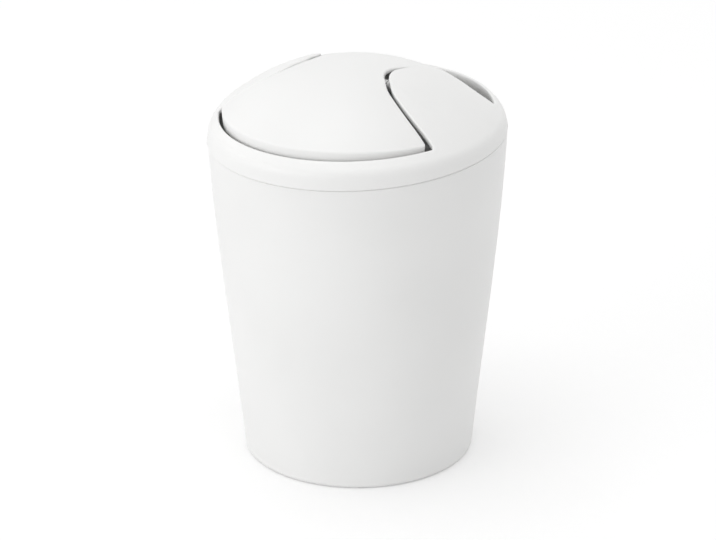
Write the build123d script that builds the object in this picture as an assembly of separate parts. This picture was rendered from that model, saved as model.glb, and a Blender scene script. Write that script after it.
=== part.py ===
"""Countertop waste bin with a swing lid: bucket, lid, see-saw flap, pivot pins and balance weight.

Millimetres, +Z up.  The origin is the middle of the foot, on the surface the bin stands on.
The lid pieces are drawn in the lid's own frame (origin in the middle of the bucket's mouth,
Z square to the mouth) and are put in place by one move, because the mouth is cut at a slope.
"""
from build123d import *
from math import cos, radians, sin, sqrt, tan
import os

# ---- bucket -------------------------------------------------------------------------------
foot_radius = 55.9          # outside, where the wall meets the table
mouth_radius = 72.6         # outside, at the mouth
bucket_height = 165.0       # foot to the middle of the mouth
mouth_slope = 2.5           # degrees, the mouth rises towards +X
foot_draft = 5.7            # degrees from upright, wall at the foot
mouth_draft = 3.1           # degrees from upright, wall at the mouth
bucket_wall = 1.8
floor_thickness = 2.2
floor_lift = 2.5            # hollow under the floor, which leaves a foot ring to stand on
foot_ring_width = 4.0
foot_round = 2.4            # outside corner round the foot
rim_round = 0.5             # softened edges of the mouth

# ---- lid ----------------------------------------------------------------------------------
lid_crown = 36.4            # middle of the dome that the fixed petals lie on, above the mouth
lip_height = 12.4           # edge of the opening above the mouth
lid_overhang = 0.4          # of the lid's side beyond the bucket's, at the mouth
ring_width = 6.5            # from the lid's side to the opening, in plan
lid_wall = 2.2
lid_side_draft = 2.5        # degrees
shoulder_round = 6.0        # where the dome turns down into the side of the lid
lip_round = 0.8
skirt_wall = 1.6            # inner wall, from the edge of the opening down into the mouth
plug_depth = 8.0            # how far the inner wall goes below the mouth
plug_clearance = 0.5
seam_gap = 0.5              # shadow line between lid and bucket
seat_width = 1.2            # inner part of the lid's side, which stands on the bucket
centring_ribs = 8
centring_rib_width = 1.6
centring_clearance = 0.2

# ---- petals, in plan ------------------------------------------------------------------------
right_petal_leading = -58.7     # azimuth of its straight edge, which points at the lid's middle
right_petal_trailing = -1.6     # azimuth where its other edge reaches the rim
left_petal_leading = 121.3
left_petal_trailing = 168.3
# corners between the two ends, and the radius of each: all are shares of the opening's radius
right_petal_corners = [
    (0.245, -0.403, 0.30),
    (0.254, -0.137, 0.18),
    (0.591, 0.179, 0.075),
    (0.872, 0.0045, 0.20)]
left_petal_corners = [
    (-0.260, 0.429, 0.045),
    (-0.361, 0.215, 0.24)]
petal_root_round = 1.5

# ---- flap ----------------------------------------------------------------------------------
flap_sink = 0.3             # crown of the closed flap below the petals' dome
flap_rim_sink = 0.1         # its rim below the edge of the opening
rim_gap = 2.1               # between its rim and the opening
flap_wall = 1.8
flap_gap = 1.2              # round the petals
nose_relief = 1.6           # extra gap at the noses of the petals, along the pivot
flap_skirt_depth = 6.0      # turned-down rim
flap_skirt_wall = 1.6
flap_skirt_draft = 5.0      # degrees, the rim leans inwards so that it clears the lip as it swings
flap_skirt_fade = 22.0      # from the rim inwards, the turned-down edges along the petals fade out
flap_corner_round = 1.6
flap_edge_round = 1.0

# ---- pivot ---------------------------------------------------------------------------------
pivot_azimuth = -37.0       # degrees, direction of the pivot in plan
pivot_depth = 8.0           # below the middle of the dome
flap_rest_swing = 3.46      # degrees that the front lobe stands above closed
pin_radius = 1.25
pin_grip = 6.0              # how far a pin reaches past the joint of its barrels
pin_head_radius = 2.2
pin_head_length = 1.0
bore_clearance = 0.05
bore_end_clearance = 0.2
barrel_wall = 1.4
barrel_gap = 0.6            # between the flap's barrel and the lid's
flap_barrel_length = 8.5
lid_barrel_length = 7.6
# where each pair of barrels meets, along the pivot: shares of the opening's radius, as the noses are
right_joint_share = 0.304
left_joint_share = 0.430
web_thickness = 2.0
web_half_width = 6.5

# ---- balance weight --------------------------------------------------------------------------
left_cradle_gap = 1.595     # from the cradle to the head of the left pin
right_cradle_gap = 3.216    # from the cradle to the head of the right pin
weight_width = 12.0
weight_thickness = 4.0
weight_drop = 5.5           # its underside below the pivot
weight_across = 4.7         # towards the rear lobe, so that the flap hangs as it is drawn
weight_edge = 0.4
weight_clearance = 0.1
cradle_wall = 1.4
cradle_lip = 1.0            # ledges above and below the weight

lid_side_radius = mouth_radius + lid_overhang
opening_radius = lid_side_radius - ring_width
dome_drop = lid_crown - lip_height
dome_radius = (opening_radius ** 2 + dome_drop ** 2) / (2 * dome_drop)
flap_radius = opening_radius - rim_gap
flap_crown = lid_crown - flap_sink
flap_rim_height = lip_height - flap_rim_sink
flap_drop = flap_crown - flap_rim_height
flap_dome_radius = (flap_radius ** 2 + flap_drop ** 2) / (2 * flap_drop)
pivot_height = lid_crown - pivot_depth
right_joint = right_joint_share * opening_radius
left_joint = left_joint_share * opening_radius
barrel_radius = pin_radius + barrel_wall
right_head = right_joint - flap_barrel_length - pin_head_length
left_head = left_joint - flap_barrel_length - pin_head_length
cradle_start = left_cradle_gap - left_head
cradle_end = right_head - right_cradle_gap
weight_length = cradle_end - cradle_start - 2 * (cradle_wall + weight_clearance)
weight_middle = (cradle_start + cradle_end) / 2
lid_place = Location((0, 0, bucket_height), (0, -mouth_slope, 0))
pivot_place = Location((0, 0, pivot_height), (0, 0, pivot_azimuth))
pivot_along = Vector(cos(radians(pivot_azimuth)), sin(radians(pivot_azimuth)), 0)
pivot_axis = Axis((0, 0, pivot_height), (pivot_along.X, pivot_along.Y, 0))
tall = bucket_height


def polar(radius, azimuth):
    """Plan point at a radius and an azimuth in degrees."""
    return (radius * cos(radians(azimuth)), radius * sin(radians(azimuth)))


def ball_height(radius, crown, reach):
    """Height of a ball's surface at a distance from the ball's upright axis."""
    return crown - radius + sqrt(radius ** 2 - reach ** 2)


def ball_arc(radius, crown, start, end):
    """Arc of a ball's outline in the XZ plane between two distances from its upright axis."""
    middle = (start + end) / 2
    points = [(reach, 0, ball_height(radius, crown, reach)) for reach in (start, middle, end)]
    return ThreePointArc(*points)


def turned(*edges):
    """Solid turned round Z from the edges of a closed half profile in the XZ plane."""
    return revolve(make_face(edges), Axis.Z)


def upright(face, low, high):
    """Prism on a plan face between two heights."""
    return extrude(Pos(0, 0, low) * face, high - low, dir=(0, 0, 1))


# ---- bucket -------------------------------------------------------------------------------
def bucket_body(inset, top):
    """Solid inside the bucket's side, from the foot up to a height above the mouth."""
    third = bucket_height / 3
    foot = Vector(foot_radius - inset, 0, 0)
    mouth = Vector(mouth_radius - inset, 0, bucket_height)
    low = foot + Vector(tan(radians(foot_draft)) * third, 0, third)
    high = mouth - Vector(tan(radians(mouth_draft)) * third, 0, third)
    above = top - bucket_height
    tip = mouth + Vector(tan(radians(mouth_draft)) * above, 0, above)
    side = Bezier(foot, low, high, mouth)
    return turned(
        Line((0, 0, 0), foot),
        side,
        Line(mouth, tip),
        Line(tip, (0, 0, top)),
        Line((0, 0, top), (0, 0, 0)))


def make_bucket():
    """Thin-walled tapered bucket on a foot ring, its mouth cut off at a slope."""
    spare = mouth_radius * tan(radians(mouth_slope)) + bucket_wall
    outer = bucket_body(0, bucket_height + spare)
    outer = fillet(outer.edges().sort_by(Axis.Z)[0], foot_round)
    room_height = tall + 2 * bucket_wall
    floor_top = floor_lift + floor_thickness
    room = Pos(0, 0, floor_top + room_height / 2) * Cylinder(mouth_radius, room_height)
    bucket = outer - (bucket_body(bucket_wall, bucket_height + spare) & room)
    bucket -= Pos(0, 0, floor_lift / 2) * Cylinder(foot_radius - foot_ring_width, floor_lift)
    bucket -= lid_place * Pos(0, 0, tall / 2) * Cylinder(2 * mouth_radius, tall)
    rim = bucket.edges().filter_by(lambda edge: edge.center().Z > bucket_height - spare)
    return fillet(rim, rim_round)


# ---- shared by lid and flap -------------------------------------------------------------------
def lying_cylinder(radius, start, end):
    """Cylinder along the pivot between two distances from the lid's middle."""
    return pivot_place * Pos((start + end) / 2, 0, 0) * Rot(0, 90, 0) * Cylinder(radius, abs(end - start))


def standing_box(start, end, width, low, high, across=0.0):
    """Box from two distances along the pivot's line, and two heights from it."""
    place = Pos((start + end) / 2, across, (low + high) / 2)
    return pivot_place * place * Box(abs(end - start), width, high - low)


def hung_webs(near, far, plan, crown, radius, thickness):
    """Two crossed webs that hang a barrel from the underside of a shell."""
    outward = 1 if far > near else -1
    webs = standing_box(near, far, web_thickness, 0, crown / 2)
    webs += standing_box(near, near + outward * web_thickness, 2 * web_half_width, 0, crown / 2)
    return webs & upright(plan, 0, tall) & under_ball(crown, radius, thickness / 2)


def under_ball(crown, radius, depth):
    """Everything inside a ball that lies `depth` under a shell's outside."""
    return Pos(0, 0, crown - radius) * Sphere(radius - depth)


def on_ball(crown, radius):
    """Filter for the edges whose middle lies on a ball."""
    middle = Vector(0, 0, crown - radius)
    return lambda edge: abs((edge @ 0.5 - middle).length - radius) < bore_clearance


def plan_reach(point):
    """Distance of a point from the upright axis."""
    return Vector(point.X, point.Y, 0).length


# ---- lid ------------------------------------------------------------------------------------
def petal(leading, corners, trailing):
    """Plan of a fixed petal, from outside the rim inwards round its nose and back."""
    reach = opening_radius + lid_wall
    turns = [(x * opening_radius, y * opening_radius) for x, y, turn in corners]
    outside = polar(2 * reach, (leading + trailing) / 2)
    plan = make_face(Polyline(polar(reach, leading), *turns, polar(reach, trailing), outside, close=True))
    for place, (x, y, turn) in zip(turns, corners):
        nearest = plan.vertices().sort_by_distance(place)[0]
        plan = fillet(nearest, turn * opening_radius)
    return plan


right_petal = petal(right_petal_leading, right_petal_corners, right_petal_trailing)
left_petal = petal(left_petal_leading, left_petal_corners, left_petal_trailing)


def make_lid():
    """Ring with a rounded shoulder, an inner wall and two petals that carry the pivot."""
    side_top = ball_height(dome_radius, lid_crown, lid_side_radius)
    shoulder = lid_side_radius - tan(radians(lid_side_draft)) * side_top
    side_inner = lid_side_radius - lid_wall
    seat = side_inner + seat_width
    inner_radius = dome_radius - lid_wall
    inner_crown = lid_crown - lid_wall
    lip_outside = opening_radius + skirt_wall
    mouth_inner = mouth_radius - bucket_wall
    bucket_narrows = plug_depth * tan(radians(mouth_draft + mouth_slope))
    skirt_foot = mouth_inner - bucket_narrows - plug_clearance
    side = [
        (shoulder, 0, ball_height(dome_radius, lid_crown, shoulder)),
        (lid_side_radius, 0, seam_gap),
        (seat, 0, seam_gap),
        (seat, 0, 0),
        (side_inner, 0, 0),
        (side_inner, 0, ball_height(inner_radius, inner_crown, side_inner))]
    skirt = [
        (lip_outside, 0, ball_height(inner_radius, inner_crown, lip_outside)),
        (skirt_foot, 0, -plug_depth),
        (skirt_foot - skirt_wall, 0, -plug_depth),
        (opening_radius, 0, ball_height(inner_radius, inner_crown, opening_radius))]
    shell = turned(
        ball_arc(dome_radius, lid_crown, 0, shoulder),
        Polyline(*side),
        ball_arc(inner_radius, inner_crown, side_inner, lip_outside),
        Polyline(*skirt),
        ball_arc(inner_radius, inner_crown, opening_radius, 0),
        Line((0, 0, inner_crown), (0, 0, lid_crown)))
    crease = shell.edges().filter_by(GeomType.CIRCLE).filter_by(
        lambda edge: abs(edge.radius - shoulder) < seam_gap and edge.center().Z > side_top / 2)
    shell = fillet(crease, shoulder_round)
    opening = Circle(opening_radius) - right_petal - left_petal
    roots = opening.vertices().filter_by(lambda vertex: Vector(*vertex).length > opening_radius - seam_gap)
    opening = fillet(roots, petal_root_round)
    lid = shell - upright(opening, 0, tall)
    sharp = lid.edges().filter_by(on_ball(lid_crown, dome_radius))
    sharp = sharp.filter_by(lambda edge: plan_reach(edge @ 0.5) < opening_radius + lip_round)
    lid = fillet(sharp, lip_round)
    for side, joint, plan in ((1, right_joint, right_petal), (-1, left_joint, left_petal)):
        near = side * (joint + barrel_gap)
        far = side * (joint + barrel_gap + lid_barrel_length)
        barrel = lying_cylinder(barrel_radius, near, far)
        lid += barrel & under_ball(lid_crown, dome_radius, lid_wall / 2)
        lid += hung_webs(far, near, plan, lid_crown, dome_radius, lid_wall)
        bore_end = side * (joint + pin_grip + bore_end_clearance)
        lid -= lying_cylinder(pin_radius + bore_clearance, near - side * barrel_gap, bore_end)
    rib_reach = mouth_inner - centring_clearance
    taper = Pos(0, 0, -plug_depth / 2) * Cone(rib_reach - bucket_narrows, rib_reach, plug_depth)
    for spot in PolarLocations(skirt_foot, centring_ribs):
        place = Pos(plug_depth / 2, 0, -plug_depth / 2)
        blade = place * Box(skirt_wall + plug_depth, centring_rib_width, plug_depth)
        lid += spot * blade & taper
    return lid


# ---- flap -----------------------------------------------------------------------------------
def flap_hole(plan):
    """Petal's plan grown by the gap, and moved along the pivot to clear the nose."""
    grown = offset(plan, amount=flap_gap, kind=Kind.ARC)
    side = 1 if grown.center().X > 0 else -1
    return Pos(-side * nose_relief * pivot_along.X, -side * nose_relief * pivot_along.Y, 0) * grown


def make_flap():
    """See-saw dome with a turned-down rim, its pivot barrels and the cradle of its weight."""
    radius = flap_dome_radius
    inner_radius = radius - flap_wall
    inner_crown = flap_crown - flap_wall
    lean = tan(radians(flap_skirt_draft))
    foot = flap_radius - lean * flap_skirt_depth
    fade_start = flap_radius - flap_skirt_fade
    fade = ball_height(inner_radius, inner_crown, fade_start)
    rim = (flap_radius, 0, flap_rim_height)
    rim_foot = (foot, 0, flap_rim_height - flap_skirt_depth)
    body = turned(
        ball_arc(radius, flap_crown, 0, flap_radius),
        Polyline(rim, rim_foot, (fade_start, 0, fade)),
        ball_arc(inner_radius, inner_crown, fade_start, 0),
        Line((0, 0, inner_crown), (0, 0, flap_crown)))
    holes = [flap_hole(right_petal), flap_hole(left_petal)]
    plan = Circle(2 * flap_radius) - holes[0] - holes[1]
    body &= upright(plan, 0, tall)
    halfway = (flap_radius + foot) / 2
    corners = body.edges().filter_by(
        lambda edge: abs(plan_reach(edge @ 0.5) - halfway) < bore_clearance and edge.length < halfway / 2)
    body = fillet(corners, flap_corner_round)
    body = fillet(body.edges().filter_by(on_ball(flap_crown, radius)), flap_edge_round)
    core = turned(
        ball_arc(inner_radius, inner_crown, 0, foot - flap_skirt_wall),
        Line((foot - flap_skirt_wall, 0, ball_height(inner_radius, inner_crown, foot - flap_skirt_wall)),
             (foot - flap_skirt_wall, 0, 0)),
        Line((foot - flap_skirt_wall, 0, 0), (0, 0, 0)),
        Line((0, 0, 0), (0, 0, inner_crown)))
    for hole in holes:
        core -= upright(offset(hole, amount=flap_skirt_wall, kind=Kind.ARC), 0, tall)
    body -= core
    for side, joint in ((1, right_joint), (-1, left_joint)):
        far = side * joint
        near = side * (joint - flap_barrel_length)
        body += lying_cylinder(barrel_radius, near, far)
        body += hung_webs(near, far, plan, flap_crown, radius, flap_wall)
        body -= lying_cylinder(pin_radius + bore_clearance, near, far)
    return cradle(body, radius)


def cradle(body, radius):
    """Pocket under the middle of the flap that the balance weight snaps into."""
    clear = weight_clearance
    start = weight_middle - weight_length / 2 - clear
    end = weight_middle + weight_length / 2 + clear
    width = weight_width + 2 * clear
    low = -weight_drop
    high = low + weight_thickness + clear
    outside = width + 2 * cradle_wall
    block = standing_box(cradle_start, cradle_end, outside, low - cradle_lip, tall, weight_across)
    block &= under_ball(flap_crown, radius, flap_wall / 2)
    hollow = standing_box(start, end, width - 2 * cradle_lip, low - cradle_lip, tall, weight_across)
    hollow &= under_ball(flap_crown, radius, flap_wall)
    pocket = standing_box(start, end, width, low, high, weight_across)
    return body + (block - hollow - pocket)


def make_weight():
    """Steel bar with its edges broken, as it lies in the cradle."""
    start = weight_middle - weight_length / 2
    high = weight_thickness - weight_drop
    bar = standing_box(start, start + weight_length, weight_width, -weight_drop, high, weight_across)
    return chamfer(bar.edges(), weight_edge)


def make_pin(side, joint):
    """Headed steel pin through the flap's barrel into the lid's."""
    head_end = side * (joint - flap_barrel_length)
    tip = side * (joint + pin_grip)
    shank = lying_cylinder(pin_radius, head_end, tip)
    head = lying_cylinder(pin_head_radius, head_end - side * pin_head_length, head_end)
    return shank + head


def in_place(shape, swings):
    """Put a piece drawn in the lid's frame on the bucket, swung with the flap if it rides on it."""
    if swings:
        shape = shape.rotate(pivot_axis, -flap_rest_swing)
    return lid_place * shape


parts = {
    "bucket": make_bucket(),
    "lid_ring": in_place(make_lid(), False),
    "flap": in_place(make_flap(), True),
    "pivot_pin_right": in_place(make_pin(1, right_joint), True),
    "pivot_pin_left": in_place(make_pin(-1, left_joint), True),
    "balance_weight": in_place(make_weight(), True),
}

os.makedirs("parts", exist_ok=True)
for node, shape in parts.items():
    export_step(shape, f"parts/{node}.step")
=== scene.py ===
"""Looks of the countertop swing-lid bin: satin white mouldings, turned pins and a steel weight."""

import math

import bmesh
import bpy
import numpy as np
from mathutils import Matrix, Vector


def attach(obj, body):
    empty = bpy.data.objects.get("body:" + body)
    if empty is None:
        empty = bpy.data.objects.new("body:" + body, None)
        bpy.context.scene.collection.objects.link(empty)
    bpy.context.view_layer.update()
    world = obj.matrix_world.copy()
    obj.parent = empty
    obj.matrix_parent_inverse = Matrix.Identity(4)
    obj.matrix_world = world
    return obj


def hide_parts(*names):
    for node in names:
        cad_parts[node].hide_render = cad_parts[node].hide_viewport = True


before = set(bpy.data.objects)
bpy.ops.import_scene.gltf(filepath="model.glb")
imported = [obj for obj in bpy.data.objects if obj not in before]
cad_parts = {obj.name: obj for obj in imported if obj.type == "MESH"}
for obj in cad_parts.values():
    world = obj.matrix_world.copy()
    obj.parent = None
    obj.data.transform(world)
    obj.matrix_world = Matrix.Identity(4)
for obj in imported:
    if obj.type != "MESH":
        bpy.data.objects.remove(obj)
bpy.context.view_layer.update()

bl_info = {
    "name": "Swing-lid bin",
    "version": (1, 0, 0),
    "blender": (4, 5, 0),
    "location": "View3D > Sidebar > Bin",
    "description": "Dresses a countertop waste bin with a see-saw lid",
    "category": "Object",
}

MM = 0.001

# The lid's own frame, in millimetres: its origin is the middle of the bucket's mouth, its z axis is
# square to the mouth, and the two pins lie on one line through its z axis.
MOUTH_HEIGHT = 165.0
MOUTH_SLOPE = math.radians(2.5)
PIVOT_AZIMUTH = math.radians(-37.0)
PIVOT_HEIGHT = 28.4

# Degrees that the flap is swung when it is at rest, as built and as finished.
REST_SWING = 3.46
REST_SWING_FINISHED = 4.15

# Radius and crown height of each dome, as built and as finished. The finished lid leans to the
# front, and its last pair is where its crown lies in plan.
LID_DOME = (104.130, 36.4)
LID_DOME_FINISHED = (105.322, 36.4, (-0.547, -1.503))
FLAP_DOME = (99.030, 36.1)
FLAP_DOME_FINISHED = (99.609, 36.1)

# Radius of the flap's edge, and how far that edge is drawn in.
FLAP_RADIUS = 64.4
FLAP_INSET = 0.2

# Guide points on the petals' edges: x and y in plan, then how far the flap's edge moves there, and
# how far the petal's own edge does. The names after the list give the columns where those start.
PETAL_GUIDES = (
    (34.5, -56.8, 2.4, 1.6, 2.0, 1.6),
    (28.1, -46.2, 1.15, 0.7, 0.7, 0.7),
    (21.6, -35.5, 0.5, 0.5, 0.1, 0.5),
    (16.7, -24.2, 1.25, 0.6, 0.9, 0.6),
    (17.0, -11.8, 0.5, 0.4, 0.2, 0.4),
    (29.0, 2.2, 0.2, 0.2, 0.0, 0.45),
    (-34.5, 56.8, 0.0, 0.0, 0.0, 0.0),
    (-24.8, 40.8, 1.2, -0.7, 1.2, -0.7),
    (-18.3, 30.2, 1.7, -1.2, 1.8, -1.3),
    (-22.6, 19.1, 0.0, 0.0, 0.1, -0.1),
    (-27.7, 15.6, 0.0, 0.0, 0.0, 0.0),
    (-33.7, 14.2, 0.5, -2.5, 0.5, -2.6),
    (-46.3, 14.1, 0.4, -5.8, 0.4, -5.8),
    (-58.8, 14.0, -0.6, -7.2, -0.6, -7.2),
    (-65.0, 14.0, -1.2, -7.8, -1.2, -7.8))
FLAP_EDGE, PETAL_EDGE = 2, 4
# How far from a guide point its pull is felt, and how loosely the points are followed.
PULL_REACH = 8.0
PULL_EASE = 0.02

# How far the lid's shoulder is drawn in at its left, and at its right.
SHOULDER_INSET = (1.15, 0.8)

# Bands over which a change sets in or dies out, as where each begins and ends.
# Distance from the pins' line: the pins' seats stay as built, and farther out the flap's flatter
# dome and further swing set in.
SEAT_BAND = (4.5, 8.5)
FLAP_CHANGE_BAND = (8.0, 20.0)
# Distance from the lid's middle: the petals' moves in and out die out first, then their moves round.
IN_OUT_BAND = (58.0, 64.0)
ROUND_BAND = (69.0, 72.0)
# Height above the mouth: the lean of the lid's dome sets in.
LEAN_BAND = (1.0, 8.0)
# The drawn-in shoulder: height of its foot and of its top, distance from the lid's middle, and how
# squarely a place faces the side, from 0 at the front to 1 at the side.
SHOULDER_FOOT_BAND = (1.5, 6.0)
SHOULDER_TOP_BAND = (9.5, 12.0)
SHOULDER_RING_BAND = (67.0, 70.5)
SIDE_BAND = (0.75, 0.97)

# Corners nearer than the first are one, and a shape's slope is measured over the second.
MERGE_DISTANCE = 0.0001 * MM
SLOPE_STEP = 0.05 * MM
TRIANGLE_CORNERS = 3

# Sockets of a colour Mix node, several of which share a name: three inputs and the output.
MIX_SHARE, MIX_FIRST, MIX_SECOND, MIX_COLOUR = 0, 6, 7, 2

# Stage, in metres: where each softbox stands, how large it is and what both are aimed at.
SIDE_SOFTBOX = {"place": (-1.9, -1.28, 0.42), "width": 1.6, "height": 0.8}
TOP_SOFTBOX = {"place": (-0.2, 0.1, 2.2), "width": 1.8, "height": 1.8}
SOFTBOX_AIM = (0, 0, 0.1)
FLOOR_SIZE = 6.0
# Camera: the sensor's width in millimetres, and the farthest distance that it draws in metres.
SENSOR_WIDTH = 36.0
FARTHEST_VIEW = 50.0
WHITE = (1, 1, 1, 1)


def linear(hex_code, alpha=1.0):
    """sRGB hex colour to the linear values that a shader takes."""
    channels = [int(hex_code[i:i + 2], 16) / 255 for i in (0, 2, 4)]
    return tuple(c / 12.92 if c <= 0.04045 else ((c + 0.055) / 1.055) ** 2.4 for c in channels) + (alpha,)


def empty_material(name):
    """New material with a cleared node tree."""
    material = bpy.data.materials.new(name)
    material.use_nodes = True
    material.node_tree.nodes.clear()
    return material


def add_node(tree, kind, settings=None, links=None):
    """Add a node; settings are its properties or input values, links its inputs' sources."""
    node = tree.nodes.new(kind)
    for key, value in (settings or {}).items():
        if isinstance(key, str) and hasattr(node, key):
            setattr(node, key, value)
        else:
            node.inputs[key].default_value = value
    for key, source in (links or {}).items():
        tree.links.new(source, node.inputs[key])
    return node


def moulded_plastic(name, light_hex, shade_hex, roughness):
    """Polypropylene from a finely spark-eroded mould.

    It looks satin, with a faint grain, a slow change of tone where the melt flowed, and edges that
    let a little light through.
    """
    flow_size = 60 * MM
    grain_size = 0.45 * MM  # the real grain is about 0.1 mm, drawn coarser so that it shows
    grain_depth = 0.03 * MM
    light_reach = 3 * MM
    sheen_spread = 0.04
    material = empty_material(name)
    tree = material.node_tree
    place = add_node(tree, "ShaderNodeTexCoord")
    flow = add_node(tree, "ShaderNodeTexNoise", {"Scale": 1 / flow_size, "Detail": 1.0, "Roughness": 0.4},
                    {"Vector": place.outputs["Object"]})
    tone = add_node(tree, "ShaderNodeValToRGB", {}, {"Fac": flow.outputs["Fac"]})
    shade_end, light_end = tone.color_ramp.elements
    shade_end.color, shade_end.position = linear(shade_hex), 0.35
    light_end.color, light_end.position = linear(light_hex), 0.65
    grain = add_node(tree, "ShaderNodeTexNoise", {"Scale": 1 / grain_size, "Detail": 2.0},
                     {"Vector": place.outputs["Object"]})
    bump = add_node(tree, "ShaderNodeBump", {"Strength": 0.12, "Distance": grain_depth},
                    {"Height": grain.outputs["Fac"]})
    sheen = add_node(tree, "ShaderNodeMapRange",
                     {"To Min": roughness - sheen_spread, "To Max": roughness + sheen_spread},
                     {"Value": grain.outputs["Fac"]})
    shader = add_node(tree, "ShaderNodeBsdfPrincipled",
                      {"IOR": 1.49, "Subsurface Weight": 0.25, "Subsurface Radius": (1, 1, 1),
                       "Subsurface Scale": light_reach},
                      {"Base Color": tone.outputs["Color"], "Roughness": sheen.outputs["Result"],
                       "Normal": bump.outputs["Normal"]})
    add_node(tree, "ShaderNodeOutputMaterial", {}, {"Surface": shader.outputs["BSDF"]})
    return material


def tooled_steel(name, light_hex, dark_hex, mark_size, roughness):
    """Bright mild steel with the fine marks of the tool, so that it glints in streaks."""
    mark_depth = 0.02 * MM
    mark_stretch = 6.0
    material = empty_material(name)
    tree = material.node_tree
    place = add_node(tree, "ShaderNodeTexCoord")
    stretch = add_node(tree, "ShaderNodeMapping", {"Scale": (1.0, 1.0, mark_stretch)},
                       {"Vector": place.outputs["Object"]})
    marks = add_node(tree, "ShaderNodeTexNoise", {"Scale": 1 / mark_size, "Detail": 3.0},
                     {"Vector": stretch.outputs["Vector"]})
    tone = add_node(tree, "ShaderNodeMix",
                    {"data_type": "RGBA", MIX_FIRST: linear(dark_hex), MIX_SECOND: linear(light_hex)},
                    {MIX_SHARE: marks.outputs["Fac"]})
    bump = add_node(tree, "ShaderNodeBump", {"Strength": 0.3, "Distance": mark_depth},
                    {"Height": marks.outputs["Fac"]})
    shader = add_node(tree, "ShaderNodeBsdfPrincipled", {"Metallic": 1.0, "Roughness": roughness},
                      {"Base Color": tone.outputs[MIX_COLOUR], "Normal": bump.outputs["Normal"]})
    add_node(tree, "ShaderNodeOutputMaterial", {}, {"Surface": shader.outputs["BSDF"]})
    return material


def seen_directly(tree):
    """1 where the eye, a mirror or glass looks at a surface, 0 where it only lights the object."""
    path = add_node(tree, "ShaderNodeLightPath")
    mirrored = add_node(tree, "ShaderNodeMath", {"operation": "MAXIMUM"},
                        {0: path.outputs["Is Glossy Ray"], 1: path.outputs["Is Transmission Ray"]})
    seen = add_node(tree, "ShaderNodeMath", {"operation": "MAXIMUM"},
                    {0: path.outputs["Is Camera Ray"], 1: mirrored.outputs[0]})
    return seen.outputs[0]


def paper_sweep(name, paper_hex, lift):
    """Matt background paper, which keeps a soft shadow and reads white around it."""
    material = empty_material(name)
    tree = material.node_tree
    paper = add_node(tree, "ShaderNodeBsdfDiffuse", {"Color": linear(paper_hex)})
    strength = add_node(tree, "ShaderNodeMath", {"operation": "MULTIPLY", 1: lift}, {0: seen_directly(tree)})
    glow = add_node(tree, "ShaderNodeEmission", {"Color": WHITE}, {"Strength": strength.outputs[0]})
    both = add_node(tree, "ShaderNodeAddShader", {}, {0: paper.outputs[0], 1: glow.outputs[0]})
    add_node(tree, "ShaderNodeOutputMaterial", {}, {"Surface": both.outputs[0]})
    return material


def smooth_step(values, band):
    """0 before a band, 1 after it and an even rise across it."""
    begin, end = band
    share = np.clip((values - begin) / (end - begin), 0, 1)
    return share * share * (3 - 2 * share)


def dome(points, radius, crown, shift=(0, 0)):
    """Height of a ball's surface over plan points; shift is where its crown lies in plan."""
    reach = np.sum((points[:, :2] - np.array(shift)) ** 2, axis=1)
    return crown - radius + np.sqrt(radius ** 2 - reach)


def turn_about_pivot(points, degrees):
    """Turn points of the lid's frame about the pins' line."""
    along = Vector((math.cos(PIVOT_AZIMUTH), math.sin(PIVOT_AZIMUTH), 0))
    turn = np.array(Matrix.Rotation(math.radians(degrees), 3, along))
    middle = np.array((0, 0, PIVOT_HEIGHT))
    return (points - middle) @ turn.T + middle


def from_pivot(points):
    """Distance of points of the lid's frame from the pins' line."""
    across = points[:, 1] * math.cos(PIVOT_AZIMUTH) - points[:, 0] * math.sin(PIVOT_AZIMUTH)
    return np.hypot(across, points[:, 2] - PIVOT_HEIGHT)


def pull(points, others):
    """How much each of the other plan points pulls on each point."""
    gaps = points[:, None, :] - others[None, :, :]
    return np.exp(-np.sum(gaps ** 2, axis=2) / (2 * PULL_REACH ** 2))


def petal_shift(points, column):
    """Move points in plan as the petals' edges move, less and less away from them and near the pins."""
    guides = np.array(PETAL_GUIDES)
    start = guides[:, :2]
    end = start + guides[:, column:column + 2]
    reach, goal = np.hypot(*start.T), np.hypot(*end.T)
    turn = np.arctan2(end[:, 1], end[:, 0]) - np.arctan2(start[:, 1], start[:, 0])
    turn = (turn + math.pi) % (2 * math.pi) - math.pi
    hold = pull(start, start) + PULL_EASE * np.eye(len(start))
    share = pull(points[:, :2], start) @ np.linalg.solve(hold, np.stack((goal - reach, turn), axis=1))
    share *= smooth_step(from_pivot(points), SEAT_BAND)[:, None]
    radius = np.hypot(points[:, 0], points[:, 1])
    angle = np.arctan2(points[:, 1], points[:, 0]) + share[:, 1] * (1 - smooth_step(radius, ROUND_BAND))
    radius = radius + share[:, 0] * (1 - smooth_step(radius, IN_OUT_BAND))
    moved = points.copy()
    moved[:, 0] = radius * np.cos(angle)
    moved[:, 1] = radius * np.sin(angle)
    return moved


def shape_lid(points):
    """Finished lid: its dome leans to the front, so its lip stands higher there, and its shoulder is slim."""
    moved = petal_shift(points, PETAL_EDGE)
    built = dome(moved, *LID_DOME)
    lean = smooth_step(points[:, 2], LEAN_BAND) * smooth_step(from_pivot(points), SEAT_BAND)
    moved[:, 2] += built - dome(points, *LID_DOME)
    moved[:, 2] += lean * (dome(moved, *LID_DOME_FINISHED) - built)
    radius = np.hypot(moved[:, 0], moved[:, 1])
    sideways = moved[:, 0] / radius
    left, right = (smooth_step(side * sideways, SIDE_BAND) for side in (-1, 1))
    inset = SHOULDER_INSET[0] * left + SHOULDER_INSET[1] * right
    foot = smooth_step(points[:, 2], SHOULDER_FOOT_BAND)
    top = 1 - smooth_step(points[:, 2], SHOULDER_TOP_BAND)
    inset *= foot * top * smooth_step(radius, SHOULDER_RING_BAND)
    moved[:, :2] *= (1 - inset / radius)[:, None]
    return moved


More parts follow.
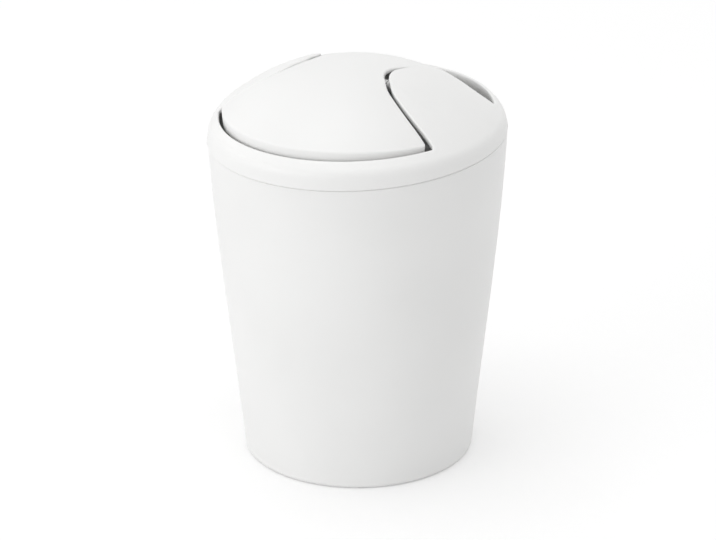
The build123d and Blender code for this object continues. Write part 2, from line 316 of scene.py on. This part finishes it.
def shape_flap(points):
    """Finished flap: a hair smaller, a little flatter and swung a little further."""
    closed = turn_about_pivot(points, REST_SWING)
    moved = petal_shift(closed, FLAP_EDGE)
    radius = np.hypot(moved[:, 0], moved[:, 1])
    moved[:, :2] *= (1 - FLAP_INSET * radius / FLAP_RADIUS ** 2)[:, None]
    built = dome(moved, *FLAP_DOME)
    far = smooth_step(from_pivot(closed), FLAP_CHANGE_BAND)
    moved[:, 2] += built - dome(closed, *FLAP_DOME)
    moved[:, 2] += far * (dome(moved, *FLAP_DOME_FINISHED) - built)
    rest = turn_about_pivot(moved, -REST_SWING)
    swung = turn_about_pivot(moved, -REST_SWING_FINISHED)
    return rest + far[:, None] * (swung - rest)


def reshape(shape, points):
    """Apply a shape function of the lid's frame, in millimetres, to points of the whole bin, in metres."""
    slope = np.array(Matrix.Rotation(-MOUTH_SLOPE, 3, "Y"))
    mouth = np.array((0, 0, MOUTH_HEIGHT))
    lid_frame = (points / MM - mouth) @ slope
    return (shape(lid_frame) @ slope.T + mouth) * MM


def merge_triangles(mesh):
    """Join a mesh's loose triangles; gives the corners that are left, because slivers vanish."""
    work = bmesh.new()
    work.from_mesh(mesh)
    origin = work.faces.layers.int.new("origin")
    for face in work.faces:
        face[origin] = face.index
    bmesh.ops.remove_doubles(work, verts=work.verts, dist=MERGE_DISTANCE)
    kept = np.array([face[origin] for face in work.faces])
    work.faces.layers.int.remove(origin)
    work.to_mesh(mesh)
    work.free()
    return (TRIANGLE_CORNERS * kept[:, None] + np.arange(TRIANGLE_CORNERS)).ravel()


def carried_normals(shape, places, normals):
    """Normals at the given places after a shape function has moved the surface."""
    here = reshape(shape, places)
    columns = [(reshape(shape, places + SLOPE_STEP * axis) - here) / SLOPE_STEP for axis in np.eye(3)]
    slopes = np.stack(columns, axis=2)
    turned = np.linalg.solve(np.transpose(slopes, (0, 2, 1)), normals[:, :, None])[:, :, 0]
    turned /= np.linalg.norm(turned, axis=1)[:, None]
    return turned


def shape_mesh(mesh, shape):
    """Merge a copied CAD mesh and give it its finished shape, smooth where the CAD surface is smooth."""
    normals = np.array([tuple(normal.vector) for normal in mesh.corner_normals])
    corners = np.array([tuple(mesh.vertices[loop.vertex_index].co) for loop in mesh.loops])
    kept = merge_triangles(mesh)
    turned = carried_normals(shape, corners[kept], normals[kept])
    places = np.array([tuple(vertex.co) for vertex in mesh.vertices])
    mesh.vertices.foreach_set("co", reshape(shape, places).ravel())
    mesh.normals_split_custom_set(turned.tolist())
    mesh.update()


def set_material(mesh, material):
    """Give a mesh one material in place of what it has."""
    mesh.materials.clear()
    mesh.materials.append(material)


def moulding(name, node, shape, material, body):
    """Make the finished piece that stands for a CAD moulding."""
    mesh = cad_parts[node].data.copy()
    piece = bpy.data.objects.new(name, mesh)
    bpy.context.scene.collection.objects.link(piece)
    shape_mesh(mesh, shape)
    set_material(mesh, material)
    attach(piece, body)
    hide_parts(node)


def set_surround(scene, fill):
    """White surround: it lights the bin at the fill's strength and is plain white to look at."""
    world = bpy.data.worlds.new("studio_surround")
    scene.world = world
    world.use_nodes = True
    tree = world.node_tree
    tree.nodes.clear()
    even = add_node(tree, "ShaderNodeBackground", {"Color": WHITE, "Strength": fill})
    backdrop = add_node(tree, "ShaderNodeBackground", {"Color": WHITE, "Strength": 1.0})
    mix = add_node(tree, "ShaderNodeMixShader", {},
                   {0: seen_directly(tree), 1: even.outputs[0], 2: backdrop.outputs[0]})
    add_node(tree, "ShaderNodeOutputWorld", {}, {"Surface": mix.outputs[0]})


def lay_floor(context, paper_hex, lift):
    """Broad sheet of paper under the bin."""
    bpy.ops.object.select_all(action="DESELECT")
    bpy.ops.mesh.primitive_plane_add(size=FLOOR_SIZE, location=(0, 0, 0))
    floor = context.active_object
    floor.name = "floor"
    floor.data.materials.append(paper_sweep("white_paper_sweep", paper_hex, lift))


def hang_softbox(scene, name, place, width, height, power):
    """Studio softbox aimed at the middle of the bin."""
    lamp = bpy.data.lights.new(name, "AREA")
    lamp.shape = "RECTANGLE"
    lamp.size = width
    lamp.size_y = height
    lamp.energy = power
    box = bpy.data.objects.new(name, lamp)
    scene.collection.objects.link(box)
    box.location = place
    box.rotation_euler = (Vector(SOFTBOX_AIM) - box.location).to_track_quat("-Z", "Y").to_euler()


def set_camera(scene, setup):
    """Long lens in front of the bin, looking down on it."""
    away = Vector((0, -math.cos(setup.elevation), math.sin(setup.elevation)))
    right = Vector((1, 0, 0))
    up = right.cross(-away)
    across = math.cos(setup.roll) * right + math.sin(setup.roll) * up
    upward = -math.sin(setup.roll) * right + math.cos(setup.roll) * up
    eye = Vector((0, 0, setup.aim)) + away * setup.distance
    data = bpy.data.cameras.new("camera")
    data.lens = setup.lens
    data.sensor_width = SENSOR_WIDTH
    data.clip_end = FARTHEST_VIEW
    camera = bpy.data.objects.new("camera", data)
    scene.collection.objects.link(camera)
    camera.matrix_world = Matrix.Translation(eye) @ Matrix((across, upward, away)).transposed().to_4x4()
    scene.camera = camera


class BinColours(bpy.types.PropertyGroup):
    """Colours and finishes of the bin."""
    plastic: bpy.props.StringProperty(
        name="Plastic", description="Lighter tone of the white plastic, sRGB hex", default="F4F4F3")
    plastic_shade: bpy.props.StringProperty(
        name="Plastic shade", description="Slightly deeper tone left by the flow of the melt, sRGB hex",
        default="F1F1F0")
    roughness: bpy.props.FloatProperty(
        name="Roughness", description="Roughness of the satin mould texture",
        default=0.42, min=0.05, max=1.0, subtype="FACTOR")
    pin: bpy.props.StringProperty(
        name="Pins", description="Lighter tone of the turned pins, sRGB hex", default="C9CBCE")
    pin_shade: bpy.props.StringProperty(
        name="Pin shade", description="Deeper tone in the tool marks of the pins, sRGB hex",
        default="A9ABAF")
    weight: bpy.props.StringProperty(
        name="Weight", description="Lighter tone of the sawn weight, sRGB hex", default="9A9CA0")
    weight_shade: bpy.props.StringProperty(
        name="Weight shade", description="Deeper tone in the saw marks of the weight, sRGB hex",
        default="7C7E82")


class StageSetup(bpy.types.PropertyGroup):
    """Camera, light and floor."""
    distance: bpy.props.FloatProperty(
        name="Camera distance", description="From the bin to the lens", default=2.610, unit="LENGTH")
    elevation: bpy.props.FloatProperty(
        name="Camera elevation", description="Angle above the table",
        default=math.radians(24.092), subtype="ANGLE")
    roll: bpy.props.FloatProperty(
        name="Camera roll", description="Turn about the line of sight",
        default=-0.0053857, subtype="ANGLE")
    aim: bpy.props.FloatProperty(
        name="Aim height", description="Height that the camera looks at", default=0.0919, unit="LENGTH")
    lens: bpy.props.FloatProperty(
        name="Lens", description="Focal length on a 36 mm sensor", default=268.0, unit="CAMERA")
    side: bpy.props.FloatProperty(
        name="Side softbox", description="Power of the large lamp at the left", default=12.0, unit="POWER")
    top: bpy.props.FloatProperty(
        name="Top softbox", description="Power of the large lamp overhead", default=11.8, unit="POWER")
    fill: bpy.props.FloatProperty(
        name="Surround", description="Strength of the white surround's light", default=0.72)
    paper: bpy.props.StringProperty(
        name="Floor", description="Colour of the floor's paper, sRGB hex", default="EFEFEF")
    lift: bpy.props.FloatProperty(
        name="Floor lift", description="Glow that keeps the floor white round the shadow", default=0.20)


class BIN_OT_mouldings(bpy.types.Operator):
    """Give the bucket, the lid and the flap their satin white plastic"""
    bl_idname = "bin.mouldings"
    bl_label = "Mouldings"

    def execute(self, context):
        colours = context.scene.bin_colours
        plastic = moulded_plastic("polypropylene_spark_texture_white", colours.plastic,
                                  colours.plastic_shade, colours.roughness)
        set_material(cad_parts["bucket"].data, plastic)
        moulding("lid_moulding", "lid_ring", shape_lid, plastic, "lid")
        moulding("flap_moulding", "flap", shape_flap, plastic, "flap")
        return {"FINISHED"}


class BIN_OT_steel(bpy.types.Operator):
    """Give the pivot pins and the balance weight their steel"""
    bl_idname = "bin.steel"
    bl_label = "Pins and weight"

    def execute(self, context):
        colours = context.scene.bin_colours
        # the turned pins are bright and finely marked, the sawn weight duller and coarser; the real
        # marks are 0.1 to 0.3 mm apart, drawn coarser so that they show
        turned = tooled_steel("mild_steel_turned", colours.pin, colours.pin_shade,
                              mark_size=0.5 * MM, roughness=0.28)
        sawn = tooled_steel("mild_steel_sawn", colours.weight, colours.weight_shade,
                            mark_size=0.8 * MM, roughness=0.45)
        finishes = {"pivot_pin_right": turned, "pivot_pin_left": turned, "balance_weight": sawn}
        for name, steel in finishes.items():
            set_material(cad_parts[name].data, steel)
        return {"FINISHED"}


class BIN_OT_stage(bpy.types.Operator):
    """Set the pale floor, the soft light and the camera"""
    bl_idname = "bin.stage"
    bl_label = "Stage"

    def execute(self, context):
        scene = context.scene
        setup = scene.bin_stage
        scene.view_settings.view_transform = "Standard"
        set_surround(scene, setup.fill)
        lay_floor(context, setup.paper, setup.lift)
        hang_softbox(scene, "side_softbox", power=setup.side, **SIDE_SOFTBOX)
        hang_softbox(scene, "top_softbox", power=setup.top, **TOP_SOFTBOX)
        set_camera(scene, setup)
        return {"FINISHED"}


class BIN_PT_panel(bpy.types.Panel):
    """Sidebar panel that shows the bin's colours, the stage's settings and the buttons that dress the bin"""
    bl_idname = "BIN_PT_panel"
    bl_label = "Swing-lid bin"
    bl_space_type = "VIEW_3D"
    bl_region_type = "UI"
    bl_category = "Bin"

    def draw(self, context):
        for group in (context.scene.bin_colours, context.scene.bin_stage):
            for key in group.bl_rna.properties.keys():
                if key not in ("rna_type", "name"):
                    self.layout.prop(group, key)
        for operator in OPERATORS:
            self.layout.operator(operator.bl_idname)


OPERATORS = (BIN_OT_mouldings, BIN_OT_steel, BIN_OT_stage)
CLASSES = (BinColours, StageSetup) + OPERATORS + (BIN_PT_panel,)


def register():
    for entry in CLASSES:
        bpy.utils.register_class(entry)
    bpy.types.Scene.bin_colours = bpy.props.PointerProperty(type=BinColours)
    bpy.types.Scene.bin_stage = bpy.props.PointerProperty(type=StageSetup)


def unregister():
    del bpy.types.Scene.bin_stage
    del bpy.types.Scene.bin_colours
    for entry in reversed(CLASSES):
        bpy.utils.unregister_class(entry)


def main():
    register()
    bpy.ops.bin.mouldings()
    bpy.ops.bin.steel()
    bpy.ops.bin.stage()


if __name__ == "__main__":
    main()
